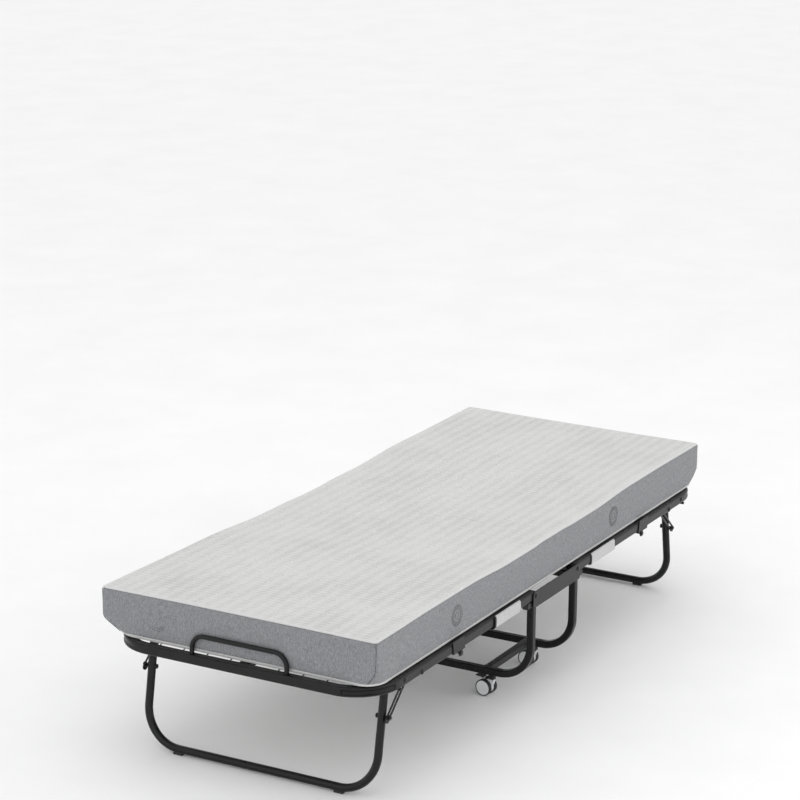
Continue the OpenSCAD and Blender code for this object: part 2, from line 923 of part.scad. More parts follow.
module foot_end_bow() mirror([1, 0, 0]) head_end_bow();
module foot_near_rail() mirror([1, 0, 0]) head_near_rail();
module foot_far_rail() mirror([1, 0, 0]) head_far_rail();
module foot_crossbars() mirror([1, 0, 0]) head_crossbars();
module foot_center_bars() mirror([1, 0, 0]) head_center_bars();
module foot_end_mesh() mirror([1, 0, 0]) head_end_mesh();
module foot_rail_mesh() mirror([1, 0, 0]) head_rail_mesh();
module foot_joint_brackets() mirror([1, 0, 0]) head_joint_brackets();
module foot_joint_knobs() mirror([1, 0, 0]) head_joint_knobs();
module foot_pivot_bolts() mirror([1, 0, 0]) head_pivot_bolts();
module foot_leg_stops() mirror([1, 0, 0]) head_leg_stops();
module foot_straps() mirror([1, 0, 0]) head_straps();
module foot_mattress() mirror([1, 0, 0]) head_mattress();
module foot_mattress_fold() mirror([1, 0, 0]) head_mattress_fold();
module foot_leg() mirror([1, 0, 0]) head_leg();
module foot_leg_pads() mirror([1, 0, 0]) head_leg_pads();
module foot_braces() mirror([1, 0, 0]) head_braces();
module foot_brace_bolts() mirror([1, 0, 0]) head_brace_bolts();
module mattress_retainer() color(powder_black) mirror([1, 0, 0]) retainer_shape();

module near_foot_caster() color(pale_plastic) at_corner(-1, -1, near_foot_yaw) caster_shape();
module far_foot_caster() color(pale_plastic) at_corner(-1, 1, far_foot_yaw) caster_shape();
module near_head_caster() color(pale_plastic) at_corner(1, -1, near_head_yaw) caster_shape();
module far_head_caster() color(pale_plastic) at_corner(1, 1, far_head_yaw) caster_shape();
module near_foot_wheels() color(pale_plastic) at_corner(-1, -1, near_foot_yaw) wheels_shape();
module far_foot_wheels() color(pale_plastic) at_corner(-1, 1, far_foot_yaw) wheels_shape();
module near_head_wheels() color(pale_plastic) at_corner(1, -1, near_head_yaw) wheels_shape();
module far_head_wheels() color(pale_plastic) at_corner(1, 1, far_head_yaw) wheels_shape();
module brake_lever() color(black_plastic) at_corner(-1, -1, near_foot_yaw) brake_shape();

// ---------- drawing ----------

near_side_plate();
far_side_plate();
foot_base_tube();
head_base_tube();
base_ties();
center_crossbars();
center_mesh();
rail_stops();
stop_plugs();
hinge_bolts();
base_bolts();
mattress_core();
foot_end_bow();
foot_near_rail();
foot_far_rail();
foot_crossbars();
foot_center_bars();
foot_end_mesh();
foot_rail_mesh();
foot_joint_brackets();
foot_joint_knobs();
foot_pivot_bolts();
foot_leg_stops();
foot_straps();
foot_mattress();
foot_mattress_fold();
mattress_retainer();
head_end_bow();
head_near_rail();
head_far_rail();
head_crossbars();
head_center_bars();
head_end_mesh();
head_rail_mesh();
head_joint_brackets();
head_joint_knobs();
head_pivot_bolts();
head_leg_stops();
head_straps();
head_mattress();
head_mattress_fold();
foot_leg();
foot_leg_pads();
foot_braces();
foot_brace_bolts();
head_leg();
head_leg_pads();
head_braces();
head_brace_bolts();
lock_hook();
near_foot_caster();
far_foot_caster();
near_head_caster();
far_head_caster();
near_foot_wheels();
far_foot_wheels();
near_head_wheels();
far_head_wheels();
brake_lever();
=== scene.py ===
"""Looks for a folding rollaway bed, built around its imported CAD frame. Metres, floor at Z = 0."""

import json
import math

import bpy
from mathutils import Matrix, Vector, noise


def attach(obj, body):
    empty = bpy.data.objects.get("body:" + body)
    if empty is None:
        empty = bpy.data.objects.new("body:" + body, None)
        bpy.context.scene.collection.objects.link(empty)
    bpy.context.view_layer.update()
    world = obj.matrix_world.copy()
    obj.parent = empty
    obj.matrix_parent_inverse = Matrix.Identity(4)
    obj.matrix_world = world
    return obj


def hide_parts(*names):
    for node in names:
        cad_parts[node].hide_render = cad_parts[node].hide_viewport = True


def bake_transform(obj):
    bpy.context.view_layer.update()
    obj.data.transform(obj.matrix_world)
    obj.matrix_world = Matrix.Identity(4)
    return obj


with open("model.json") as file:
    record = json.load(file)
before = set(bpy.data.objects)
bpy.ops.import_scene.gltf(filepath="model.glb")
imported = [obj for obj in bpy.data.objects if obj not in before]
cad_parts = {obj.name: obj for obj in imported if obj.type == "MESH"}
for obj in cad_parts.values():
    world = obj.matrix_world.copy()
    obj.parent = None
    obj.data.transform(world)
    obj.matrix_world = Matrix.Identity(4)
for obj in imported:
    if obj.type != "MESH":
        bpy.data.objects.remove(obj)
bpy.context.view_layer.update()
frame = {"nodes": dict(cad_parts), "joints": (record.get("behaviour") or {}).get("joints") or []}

# Mattress
HALF_LENGTH = 0.951
HALF_WIDTH = 0.3825
BOTTOM = 0.322
TOP = 0.448
FOLD_TOP = 0.440
FOLD_FLAT_X = 0.25
FOLD_FULL_X = 0.48
TOP_CORNER = 0.009
BOTTOM_CORNER = 0.058
CORNER_FLARE = 0.003
FAR_SPREAD = 0.024
FAR_SPREAD_X = (-0.1, 1.25)
PIPING_RISE = 0.0085
PIPING_RADIUS = 0.0026
PIPING_INSET = 0.0042
SEAM_RADIUS = 0.0008
STITCH_RADIUS = 0.0006
# The ring badge: radius and number of stitches of each ring, and the short rays outside the middle one
BADGE_RINGS = ((0.009, 10), (0.018, 18), (0.027, 26))
BADGE_RAYS = 18
BADGE_RAY = (0.0205, 0.0225, 0.0245)
STITCH_SHARE = 0.62
BADGE_STAND_OFF = 0.0002
FOOT_BADGE = (0.244, 0.384)
SIDE_BADGES = (("foot", -0.546), ("head", 0.371))
SIDE_BADGE_Z = 0.386
# The border's outline from the underside up: rise above the underside, inset
LOWER_PROFILE = (
    (0.0, 0.0100), (0.0010, 0.0070), (0.0030, 0.0046), (0.0060, 0.0032), (0.0085, 0.0042),
    (0.0105, 0.0028), (0.017, 0.0017), (0.030, 0.0008), (0.048, 0.0002), (0.066, 0.0),
)
# The same from the top down: drop below the top, inset
UPPER_PROFILE = (
    (0.044, 0.0001), (0.028, 0.0005), (0.016, 0.0010), (0.0085, 0.0015), (0.0060, 0.0020),
    (0.0050, 0.0036), (0.0042, 0.0022), (0.0030, 0.0016), (0.0018, 0.0024), (0.0008, 0.0044),
    (0.0, 0.0085),
)
PIPING_LEVEL = 4
TOP_SEAM_LEVEL = len(LOWER_PROFILE) + 5

# Decks
WIRE_RADIUS = 0.0015
WIRE_ROWS = 10
WIRE_PITCH = 0.069
DECK_WIRE_Z = 0.319
CENTER_WIRE_Z = 0.3055
WIRE_TURN = 0.009
RAIL_OUTER = 0.3915
WIRE_BEND = 0.004
WIRE_GAP = 0.002
FIELDS = 5
CENTER_FIELDS = 3
END_FIELD_X = (0.628, 0.945)
RAIL_FIELD_X = (0.1825, 0.5015)
CENTER_FIELD_X = (-0.090, 0.090)
# The outermost wires stop here, short of the end bow's bends
OUTER_WIRE_STOP = 0.934

# Straps
STRAP_START = 0.215
STRAP_END = 0.360
STRAP_THICK = 0.0016
# The near foot strap is black from here to its end towards the foot.
STRAP_BLACK_FROM = 0.350
STRAP_BOTTOM = 0.2895
STRAP_INNER = 0.2715
STRAP_BEND = 0.007

# Stage and camera
FLOOR_REACH = 40.0
LIGHT_TARGET = (0.0, 0.0, 0.3)
# Name, place, size and power of each soft light
LIGHTS = (
    ("top_softbox", (0.3, -0.4, 3.6), (3.6, 2.6), 12),
    ("near_softbox", (0.4, -4.2, 2.0), (3.0, 2.0), 14),
    ("foot_softbox", (-4.6, 0.8, 1.8), (2.2, 2.0), 8),
)
CAMERA_PLACE = (-6.1845, -3.3886, 2.7642)
# Degrees: turn about Z, downward tilt, roll
CAMERA_TURNS = (-62.2665, 18.0353, 0.8739)
CAMERA_LENS = 122.545
CAMERA_SHIFT = (-0.0918, 0.1281)
CAMERA_FAR = 200.0


# ---------- materials ----------

def material(name, roughness, metallic=0.0, specular=0.5):
    made = bpy.data.materials.new(name)
    made.use_nodes = True
    shader = made.node_tree.nodes["Principled BSDF"]
    shader.inputs["Roughness"].default_value = roughness
    shader.inputs["Metallic"].default_value = metallic
    shader.inputs["Specular IOR Level"].default_value = specular
    return made


def node(made, kind, **values):
    found = made.node_tree.nodes.new(kind)
    for key, value in values.items():
        setattr(found, key, value)
    return found


def link(made, source, target):
    made.node_tree.links.new(source, target)


def stretched_coordinates(made, scale):
    place = node(made, "ShaderNodeTexCoord")
    mapping = node(made, "ShaderNodeMapping")
    mapping.inputs["Scale"].default_value = scale
    link(made, place.outputs["Object"], mapping.inputs["Vector"])
    return mapping.outputs["Vector"]


def noise_texture(made, coordinates, scale, detail=4.0, roughness=0.6):
    texture = node(made, "ShaderNodeTexNoise")
    texture.inputs["Scale"].default_value = scale
    texture.inputs["Detail"].default_value = detail
    texture.inputs["Roughness"].default_value = roughness
    link(made, coordinates, texture.inputs["Vector"])
    return texture.outputs["Fac"]


def wave_texture(made, coordinates, direction, scale, distortion, detail_scale):
    texture = node(made, "ShaderNodeTexWave", wave_type="BANDS", bands_direction=direction)
    texture.inputs["Scale"].default_value = scale
    texture.inputs["Distortion"].default_value = distortion
    texture.inputs["Detail"].default_value = 2.0
    texture.inputs["Detail Scale"].default_value = detail_scale
    link(made, coordinates, texture.inputs["Vector"])
    return texture.outputs["Fac"]


def colour_between(made, factor, dark, light, low=0.3, high=0.7):
    ramp = node(made, "ShaderNodeValToRGB")
    ramp.color_ramp.elements[0].position = low
    ramp.color_ramp.elements[0].color = (*dark, 1.0)
    ramp.color_ramp.elements[1].position = high
    ramp.color_ramp.elements[1].color = (*light, 1.0)
    link(made, factor, ramp.inputs["Fac"])
    return ramp.outputs["Color"]


def set_colour(made, colour):
    link(made, colour, made.node_tree.nodes["Principled BSDF"].inputs["Base Color"])


def vary_roughness(made, factor, low, high):
    spread = node(made, "ShaderNodeMapRange")
    spread.inputs["To Min"].default_value = low
    spread.inputs["To Max"].default_value = high
    link(made, factor, spread.inputs["Value"])
    link(made, spread.outputs["Result"], made.node_tree.nodes["Principled BSDF"].inputs["Roughness"])


def add_bump(made, heights):
    """heights: (texture output, depth in metres), laid one over the other."""
    normal = None
    for height, depth in heights:
        bump = node(made, "ShaderNodeBump")
        bump.inputs["Strength"].default_value = 1.0
        bump.inputs["Distance"].default_value = depth
        link(made, height, bump.inputs["Height"])
        if normal is not None:
            link(made, normal, bump.inputs["Normal"])
        normal = bump.outputs["Normal"]
    link(made, normal, made.node_tree.nodes["Principled BSDF"].inputs["Normal"])


def coated_metal(name, dark, light, rough_low, rough_high, grain):
    """Painted or oxidised metal: orange-peel grain, faint mottling, uneven gloss."""
    made = material(name, rough_low, specular=0.30)
    plain = stretched_coordinates(made, (1, 1, 1))
    mottle = noise_texture(made, plain, 22.0, 5.0)
    peel = noise_texture(made, plain, 620.0, 2.0)
    set_colour(made, colour_between(made, mottle, dark, light))
    vary_roughness(made, mottle, rough_low, rough_high)
    add_bump(made, [(peel, grain)])
    return made


def moulded_plastic(name, dark, light, rough_low, rough_high, coat=0.0):
    made = material(name, rough_low)
    plain = stretched_coordinates(made, (1, 1, 1))
    cloud = noise_texture(made, plain, 35.0, 3.0)
    grain = noise_texture(made, plain, 1400.0, 2.0)
    set_colour(made, colour_between(made, cloud, dark, light))
    vary_roughness(made, cloud, rough_low, rough_high)
    add_bump(made, [(grain, 0.00004)])
    made.node_tree.nodes["Principled BSDF"].inputs["Coat Weight"].default_value = coat
    return made


def fabric(name, sheen):
    made = material(name, 0.92, specular=0.2)
    shader = made.node_tree.nodes["Principled BSDF"]
    shader.inputs["Sheen Weight"].default_value = sheen
    shader.inputs["Sheen Roughness"].default_value = 0.5
    return made


def top_knit():
    """Off-white stretch knit: low wavy rows across the bed, with fine loops in them."""
    made = fabric("top_knit", 0.15)
    plain = stretched_coordinates(made, (1, 1, 1))
    rows = wave_texture(made, plain, "X", 20.0, 1.6, 26.0)
    cross = wave_texture(made, plain, "Y", 9.0, 3.0, 14.0)
    loops = noise_texture(made, stretched_coordinates(made, (1.0, 0.45, 1.0)), 900.0, 2.0)
    cloud = noise_texture(made, plain, 6.0, 3.0)
    tone = node(made, "ShaderNodeMath", operation="ADD")
    link(made, rows, tone.inputs[0])
    link(made, cross, tone.inputs[1])
    spread = node(made, "ShaderNodeMath", operation="MULTIPLY_ADD")
    spread.inputs[1].default_value = 0.36
    link(made, tone.outputs[0], spread.inputs[0])
    link(made, cloud, spread.inputs[2])
    colour = colour_between(made, spread.outputs[0], (0.52, 0.52, 0.505), (0.645, 0.648, 0.64), 0.35, 1.05)
    set_colour(made, colour)
    add_bump(made, [(rows, 0.0012), (cross, 0.0006), (loops, 0.0006)])
    return made


def border_knit():
    """Heathered grey knit, its light and dark yarns drawn out up and down."""
    made = fabric("border_knit", 0.2)
    yarn = noise_texture(made, stretched_coordinates(made, (1, 1, 0.25)), 900.0, 3.0, 0.7)
    fleck = noise_texture(made, stretched_coordinates(made, (1, 1, 0.3)), 340.0, 3.0, 0.6)
    both = node(made, "ShaderNodeMath", operation="MULTIPLY_ADD")
    both.inputs[1].default_value = 0.55
    link(made, fleck, both.inputs[0])
    link(made, yarn, both.inputs[2])
    colour = colour_between(made, both.outputs[0], (0.135, 0.139, 0.148), (0.350, 0.357, 0.372), 0.56, 1.02)
    set_colour(made, colour)
    add_bump(made, [(yarn, 0.0008)])
    return made


def woven(name, dark, light, pitch_scale, depth, sheen=0.2):
    """A close weave: two crossing wave patterns, with a little colour drift."""
    made = fabric(name, sheen)
    plain = stretched_coordinates(made, (1, 1, 1))
    warp = wave_texture(made, plain, "DIAGONAL", pitch_scale, 0.6, 8.0)
    cloud = noise_texture(made, plain, 260.0, 4.0, 0.7)
    set_colour(made, colour_between(made, cloud, dark, light))
    add_bump(made, [(warp, depth), (cloud, depth)])
    return made


BLACK_COAT = coated_metal(
    "black_powder_coat", (0.003, 0.003, 0.0034), (0.007, 0.007, 0.0076),
    0.24, 0.34, 0.00004,
)
BLACK_WIRE = coated_metal(
    "black_coated_wire", (0.004, 0.004, 0.0045), (0.009, 0.009, 0.010),
    0.30, 0.44, 0.00005,
)
BLACK_OXIDE = coated_metal(
    "black_oxide_steel", (0.008, 0.008, 0.009), (0.018, 0.018, 0.020),
    0.24, 0.40, 0.00003,
)
HOOK_BLACK = coated_metal(
    "black_hook_wire", (0.014, 0.014, 0.014), (0.026, 0.026, 0.027),
    0.26, 0.40, 0.00003,
)
BLACK_PLASTIC = moulded_plastic("black_plastic", (0.012, 0.012, 0.013), (0.022, 0.022, 0.024), 0.42, 0.60)
TYRE = moulded_plastic("black_tyre", (0.010, 0.010, 0.011), (0.020, 0.020, 0.021), 0.55, 0.75)
WHITE_HUB = moulded_plastic("white_hub", (0.70, 0.71, 0.72), (0.78, 0.79, 0.80), 0.26, 0.36, 0.3)
WHITE_BODY = moulded_plastic("white_caster_body", (0.66, 0.67, 0.69), (0.76, 0.77, 0.79), 0.24, 0.34, 0.3)
TOP_KNIT = top_knit()
BORDER_KNIT = border_knit()
# The top roll is a cloth of its own, made lighter than the top knit: a painted highlight along the top
# edge.
TOP_EDGE_HIGHLIGHT = woven("white_edge_painted_highlight", (0.64, 0.64, 0.635), (0.69, 0.69, 0.685), 520.0, 0.0002)
UNDERSIDE = woven("white_underside_cloth", (0.66, 0.66, 0.65), (0.78, 0.78, 0.77), 420.0, 0.0003)
PIPING = woven("white_piping_cloth", (0.60, 0.60, 0.595), (0.70, 0.70, 0.69), 640.0, 0.0003)
THREAD = woven("dark_grey_thread", (0.045, 0.048, 0.055), (0.10, 0.105, 0.115), 900.0, 0.0002)
STRAP_CLOTH = woven("white_strap_cloth", (0.66, 0.66, 0.66), (0.82, 0.82, 0.82), 520.0, 0.0005)
STRAP_END_BLACK = woven("black_strap_end", (0.010, 0.010, 0.011), (0.03, 0.03, 0.032), 700.0, 0.0006)


# ---------- mesh helpers ----------

def smoothstep(low, high, value):
    share = min(max((value - low) / (high - low), 0.0), 1.0)
    return share * share * (3 - 2 * share)


def new_piece(name, points, faces, materials, face_materials=None):
    mesh = bpy.data.meshes.new(name)
    mesh.from_pydata([tuple(p) for p in points], [], faces)
    for made in materials:
        mesh.materials.append(made)
    if face_materials is not None:
        mesh.polygons.foreach_set("material_index", face_materials)
    mesh.polygons.foreach_set("use_smooth", [True] * len(mesh.polygons))
    mesh.update()
    piece = bpy.data.objects.new(name, mesh)
    bpy.context.scene.collection.objects.link(piece)
    return piece


def tube_rings(path, radius, sides, closed):
    """Rings of points round a path, each turned as little as the path allows."""
    count = len(path)
    rings = []
    across = None
    for i, point in enumerate(path):
        before = path[(i - 1) % count] if closed or i > 0 else point
        after = path[(i + 1) % count] if closed or i < count - 1 else point
        along = (after - before).normalized()
        if across is None:
            across = along.orthogonal()
        across = (across - along * across.dot(along)).normalized()
        up = along.cross(across)
        for k in range(sides):
            turn = 2 * math.pi * k / sides
            rings.append(point + radius * (math.cos(turn) * across + math.sin(turn) * up))
    return rings


def tubes(name, paths, radius, made, sides=10, closed=False):
    """Round tubes along several paths, as one piece with closed ends."""
    points, faces = [], []
    for path in paths:
        base = len(points)
        points += tube_rings(path, radius, sides, closed)
        count = len(path)
        for i in range(count if closed else count - 1):
            low = base + i * sides
            high = base + (i + 1) % count * sides
            for k in range(sides):
                following = (k + 1) % sides
                faces.append((low + k, low + following, high + following, high + k))
        if not closed:
            last = base + (count - 1) * sides
            faces.append(tuple(base + k for k in reversed(range(sides))))
            faces.append(tuple(last + k for k in range(sides)))
    return new_piece(name, points, faces, [made])


def bend_points(center, radius, start, stop, steps, to_point):
    """Points on an arc, from angle start to stop in degrees, through to_point(a, b)."""
    found = []
    for i in range(steps + 1):
        turn = math.radians(start + (stop - start) * i / steps)
        found.append(to_point(center[0] + radius * math.cos(turn), center[1] + radius * math.sin(turn)))
    return found


# ---------- mattress ----------

def spaced(start, stop, count):
    return [start + (stop - start) * i / count for i in range(count + 1)]


def top_height(x):
    """The top dips a little where the mattress folds."""
    return FOLD_TOP + (TOP - FOLD_TOP) * smoothstep(FOLD_FLAT_X, FOLD_FULL_X, abs(x))


def rounded_plan(x, y, corner, inset):
    """A point of the half mattress's plan, drawn in by inset and with its two end corners rounded."""
    length = HALF_LENGTH - inset
    width = HALF_WIDTH - inset
    px = x / HALF_LENGTH * length
    py = y / HALF_WIDTH * width
    a = (px - (length - corner)) / corner
    b = (abs(py) - (width - corner)) / corner
    if a <= 0 or b <= 0:
        return px, py
    rounded_x = length - corner + corner * a * math.sqrt(1 - b * b / 2)
    rounded_y = width - corner + corner * b * math.sqrt(1 - a * a / 2)
    return rounded_x, math.copysign(rounded_y, py)


def corner_radius(rise):
    return BOTTOM_CORNER + (TOP_CORNER - BOTTOM_CORNER) * smoothstep(-0.004, 0.052, rise)


def corner_flare(x, y, rise):
    """How far the foam stands out at the four corners, above the tucked-in bottom."""
    along = smoothstep(HALF_LENGTH - 0.30, HALF_LENGTH, abs(x))
    across = smoothstep(HALF_WIDTH - 0.26, HALF_WIDTH, abs(y))
    return CORNER_FLARE * along * across * smoothstep(0.0, 0.06, rise)


def side_wave(x, y, z):
    """Slow unevenness of the padded border, in metres."""
    slow = noise.noise(Vector((x * 5.0, y * 5.0, z * 9.0)))
    quick = noise.noise(Vector((x * 17.0 + 9.0, y * 17.0, z * 21.0)))
    return 0.0007 * slow + 0.0004 * quick


def fold_inset(x, z):
    """The middle is drawn in, so that it stays inside the folded halves."""
    return 0.0035 * (1 - smoothstep(0.05, 0.13, abs(x))) * smoothstep(0.38, 0.41, z)


def far_spread(x, y, rise, side):
    """The foot half leans a little outwards on the far side, towards the end of the bed."""
    if side > 0 or y <= 0:
        return 0.0
    here = smoothstep(*FAR_SPREAD_X, x)
    full = smoothstep(*FAR_SPREAD_X, HALF_LENGTH)
    return FAR_SPREAD * y / HALF_WIDTH * here / full * smoothstep(0.0, 0.05, rise)


def mattress_point(x, y, z, inset, side):
    rise = z - BOTTOM
    moved = inset + fold_inset(x, z) + side_wave(x, y, z) * smoothstep(0.0, 0.02, rise)
    px, py = rounded_plan(x, y, corner_radius(rise), max(moved, 0.0) - corner_flare(x, y, rise))
    return Vector((px, py + far_spread(x, y, rise, side), z))


def top_point(x, y, inset, side):
    point = mattress_point(x, y, top_height(x), inset, side)
    edge = min(HALF_LENGTH - x, HALF_WIDTH - abs(y))
    calm = smoothstep(0.005, 0.06, edge)
    swell = noise.noise(Vector((x * 4.0, y * 4.0, 3.0))) * 0.0008
    point.z += calm * (swell - 0.0006)
    return point


def mattress_levels(x):
    """(height, inset) of every level of the border at this x."""
    top = top_height(x)
    lower = [(BOTTOM + rise, inset) for rise, inset in LOWER_PROFILE]
    upper = [(top - drop, inset) for drop, inset in UPPER_PROFILE]
    return lower + upper


def mattress_half(name, side):
    xs = spaced(0.0, 0.88, 110)[:-1] + spaced(0.88, HALF_LENGTH, 18)
    edge_ys = spaced(HALF_WIDTH - 0.07, HALF_WIDTH, 18)
    ys = [-y for y in reversed(edge_ys)] + spaced(-edge_ys[0], edge_ys[0], 62)[1:-1] + edge_ys
    nx, ny = len(xs), len(ys)
    level_count = len(LOWER_PROFILE) + len(UPPER_PROFILE)
    rim = [(i, 0) for i in range(nx)] + [(nx - 1, j) for j in range(1, ny)]
    rim += [(i, ny - 1) for i in reversed(range(nx - 1))] + [(0, j) for j in reversed(range(1, ny - 1))]
    points, faces, kinds = [], [], []
    grids = []
    for is_top in (False, True):
        grid = {}
        for i, x in enumerate(xs):
            for j, y in enumerate(ys):
                grid[i, j] = len(points)
                if is_top:
                    points.append(top_point(x, y, UPPER_PROFILE[-1][1], side))
                else:
                    points.append(mattress_point(x, y, BOTTOM, LOWER_PROFILE[0][1], side))
        for i in range(nx - 1):
            for j in range(ny - 1):
                quad = (grid[i, j], grid[i + 1, j], grid[i + 1, j + 1], grid[i, j + 1])
                faces.append(quad if is_top else quad[::-1])
                kinds.append(0 if is_top else 2)
        grids.append(grid)
    rows = [[grids[0][key] for key in rim]]
    for level in range(1, level_count - 1):
        row = []
        for i, j in rim:
            height, inset = mattress_levels(xs[i])[level]
            row.append(len(points))
            points.append(mattress_point(xs[i], ys[j], height, inset, side))
        rows.append(row)
    rows.append([grids[1][key] for key in rim])
    for level in range(level_count - 1):
        # Levels from TOP_SEAM_LEVEL up take the lighter edge cloth, a painted highlight along the top edge.
        kind = 2 if level < PIPING_LEVEL else 1 if level < TOP_SEAM_LEVEL else 3
        for k in range(len(rim)):
            following = (k + 1) % len(rim)
            low, high = rows[level], rows[level + 1]
            faces.append((low[k], low[following], high[following], high[k]))
            kinds.append(kind)
    if side < 0:
        points = [Vector((-p.x, p.y, p.z)) for p in points]
        faces = [f[::-1] for f in faces]
    piece = new_piece(name, points, faces, [TOP_KNIT, BORDER_KNIT, UNDERSIDE, TOP_EDGE_HIGHLIGHT], kinds)
    piece.data.set_sharp_from_angle(angle=math.radians(50))
    return piece


def piping_path(side, height, inset):
    """The outline from the middle round the end and back, at one height."""
    corner = corner_radius(height - BOTTOM)
    straight = spaced(0.0, HALF_LENGTH - inset - corner, 90)
    center = (HALF_LENGTH - inset - corner, HALF_WIDTH - inset - corner)
    path = [Vector((x, -(HALF_WIDTH - inset), height)) for x in straight[:-1]]
    path += bend_points((center[0], -center[1]), corner, -90, 0, 16, lambda a, b: Vector((a, b, height)))
    path += [Vector((HALF_LENGTH - inset, y, height)) for y in spaced(-center[1], center[1], 60)[1:-1]]
    path += bend_points(center, corner, 0, 90, 16, lambda a, b: Vector((a, b, height)))
    path += [Vector((x, HALF_WIDTH - inset, height)) for x in reversed(straight[:-1])]
    return [Vector((side * p.x, p.y, p.z)) for p in path]


def corner_seam_path(side, far):
    """The dark seam down one end corner of the border, drifting to the end face lower down."""
    path = []
    for height in spaced(BOTTOM + 0.011, TOP - 0.0058, 30):
        rise = height - BOTTOM
        radius = corner_radius(rise)
        drift = 1.0 - 0.35 * smoothstep(0.0, 0.11, 0.11 - rise)
        y = far * (HALF_WIDTH - radius * (1 - drift))
        point = mattress_point(HALF_LENGTH, y, height, 0.0006, side)
        path.append(Vector((side * point.x, point.y, height)))
    return path


def stitched_rings(name, center, across, made):
    """A plain ring badge in running stitch: three rings and a wheel of short stitches."""
    up = Vector((0, 0, 1))
    paths = []
    for radius, stitches in BADGE_RINGS:
        for k in range(stitches):
            start = 2 * math.pi * k / stitches
            sweep = 2 * math.pi / stitches * STITCH_SHARE
            turns = [start + sweep * i / 3 for i in range(4)]
            paths.append([center + radius * (math.cos(t) * across + math.sin(t) * up) for t in turns])
    for k in range(BADGE_RAYS):
        t = 2 * math.pi * (k + 0.5) / BADGE_RAYS
        ray = math.cos(t) * across + math.sin(t) * up
        paths.append([center + r * ray for r in BADGE_RAY])
    return tubes(name, paths, STITCH_RADIUS, made, sides=6)


def build_mattress():
    for end, side in (("foot", -1), ("head", 1)):
        deck = f"{end}_deck"
        cover = mattress_half(f"{end}_mattress_cover", side)
        replaced = [f"{end}_mattress", f"{end}_mattress_fold"] + (["mattress_core"] if side < 0 else [])
        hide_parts(*replaced)
        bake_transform(cover)
        path = piping_path(side, BOTTOM + PIPING_RISE, PIPING_INSET)
        piping = tubes(f"{end}_mattress_piping", [path], PIPING_RADIUS, PIPING)
        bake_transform(piping)
        seams = [corner_seam_path(side, far) for far in (-1, 1)]
        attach(tubes(f"{end}_corner_seams", seams, SEAM_RADIUS, THREAD, sides=8), deck)
    foot_face = Vector((-HALF_LENGTH - BADGE_STAND_OFF, *FOOT_BADGE))
    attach(stitched_rings("foot_end_motif", foot_face, Vector((0, 1, 0)), THREAD), "foot_deck")
    for end, x in SIDE_BADGES:
        center = Vector((x, -HALF_WIDTH - BADGE_STAND_OFF, SIDE_BADGE_Z))
        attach(stitched_rings(f"{end}_side_motif", center, Vector((1, 0, 0)), THREAD), f"{end}_deck")


# ---------- wire mesh ----------

def turned_wire(start, stop, height, y):
    """A lengthwise wire whose ends are bent down beside the bars."""
    low = height - WIRE_TURN
    first = start + WIRE_GAP
    last = stop - WIRE_GAP
    middle = height - WIRE_BEND

    def place(a, b):
        return Vector((a, y, b))

    path = [Vector((first, y, low))]
    path += bend_points((first + WIRE_BEND, middle), WIRE_BEND, 180, 90, 5, place)
    path += bend_points((last - WIRE_BEND, middle), WIRE_BEND, 90, 0, 5, place)
    path.append(Vector((last, y, low)))
    return path


def cross_wire(x, height, reach):
    """A crosswise wire under the others, its ends curled up round the outer ones."""
    curl = 2 * WIRE_RADIUS
    low = height - curl
    ends = bend_points((reach, height), curl, -90, 150, 10, lambda a, b: Vector((x, a, b)))
    other = [Vector((x, -p.y, p.z)) for p in reversed(ends)]
    return other + [Vector((x, 0, low))] + ends


def build_wire_mesh(name, cad_node, body, start, stop, height, fields, outer_stop=None):
    half = (WIRE_ROWS - 1) / 2 * WIRE_PITCH
    paths = []
    for k in range(WIRE_ROWS):
        last = outer_stop if outer_stop and k in (0, WIRE_ROWS - 1) else stop
        paths.append(turned_wire(start, last, height, k * WIRE_PITCH - half))
    crossings = [start + (stop - start) * j / fields for j in range(1, fields)]
    paths += [cross_wire(x, height, half) for x in crossings]
    side = -1 if body == "foot_deck" else 1
    paths = [[Vector((side * p.x, p.y, p.z)) for p in path] for path in paths]
    piece = tubes(name, paths, WIRE_RADIUS, BLACK_WIRE)
    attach(piece, body)
    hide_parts(cad_node)


def build_wire_meshes():
    for end in ("foot", "head"):
        deck = f"{end}_deck"
        build_wire_mesh(
            f"{end}_end_wires", f"{end}_end_mesh", deck, *END_FIELD_X, DECK_WIRE_Z, FIELDS, OUTER_WIRE_STOP
        )
        build_wire_mesh(f"{end}_rail_wires", f"{end}_rail_mesh", deck, *RAIL_FIELD_X, DECK_WIRE_Z, FIELDS)
    build_wire_mesh(
        "center_wires", "center_mesh", "center_base", *CENTER_FIELD_X, CENTER_WIRE_Z, CENTER_FIELDS
    )


# ---------- straps ----------

def strap_profile(far):
    """The strap's path in Y and Z: down the outside of the rail, under it and up inside."""
    outer = RAIL_OUTER + 0.0022
    low = STRAP_BOTTOM
    inner = STRAP_INNER

    def place(a, b):
        return Vector((0, far * a, b))

    def sagging(a):
        return place(a, low + 0.0012 * math.sin((outer - a) * 40))

    path = [place(outer - 0.004, 0.3235), place(outer - 0.0008, 0.3205)]
    path += [place(outer, 0.316), place(outer + 0.0004, 0.306)]
    path += bend_points((outer - STRAP_BEND, low + STRAP_BEND), STRAP_BEND, 0, -90, 8, place)
    path += [sagging(a) for a in spaced(outer - 0.012, inner + 0.010, 24)]
    path += bend_points((inner + STRAP_BEND, low + STRAP_BEND), STRAP_BEND, -90, -180, 8, place)
    path += [place(inner, b) for b in spaced(low + 0.010, 0.3140, 4)]
    return path


